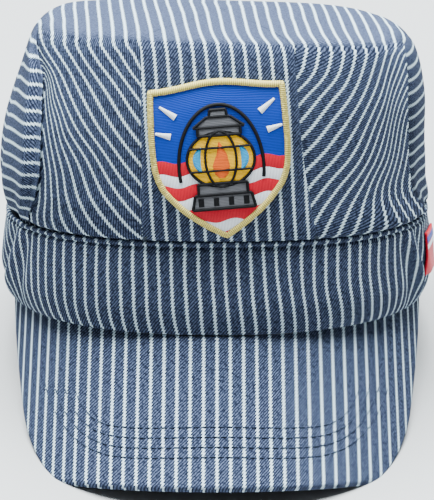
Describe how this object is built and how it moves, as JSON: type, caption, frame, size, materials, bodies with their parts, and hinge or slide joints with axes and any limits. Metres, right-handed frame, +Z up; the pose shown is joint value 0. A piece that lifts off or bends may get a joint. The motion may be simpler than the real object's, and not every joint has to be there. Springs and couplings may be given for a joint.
{
  "type": "railroad engineer cap",
  "caption": "Soft striped denim cap with a puffed, pleated crown, an upright band, an arched stitched visor and an embroidered shield patch.",
  "frame": {"origin": "on the table, under the middle of the cap as it rests on its visor and the back of its band", "axes": "+Z up, -Y to the front of the cap, +X to the right as seen from the front"},
  "size_m": [0.18, 0.257, 0.1528],
  "materials": {
    "denim": "navy twill with narrow off-white stripes",
    "embroidery": "satin-stitched embroidery",
    "border_thread": "glossy overlock thread",
    "label": "woven tape"
  },
  "bodies": {
    "root": {"crown": "denim", "band": "denim", "visor": "denim", "patch": "embroidery", "patch_border": "border_thread", "side_label": "label"}
  },
  "joints": []
}
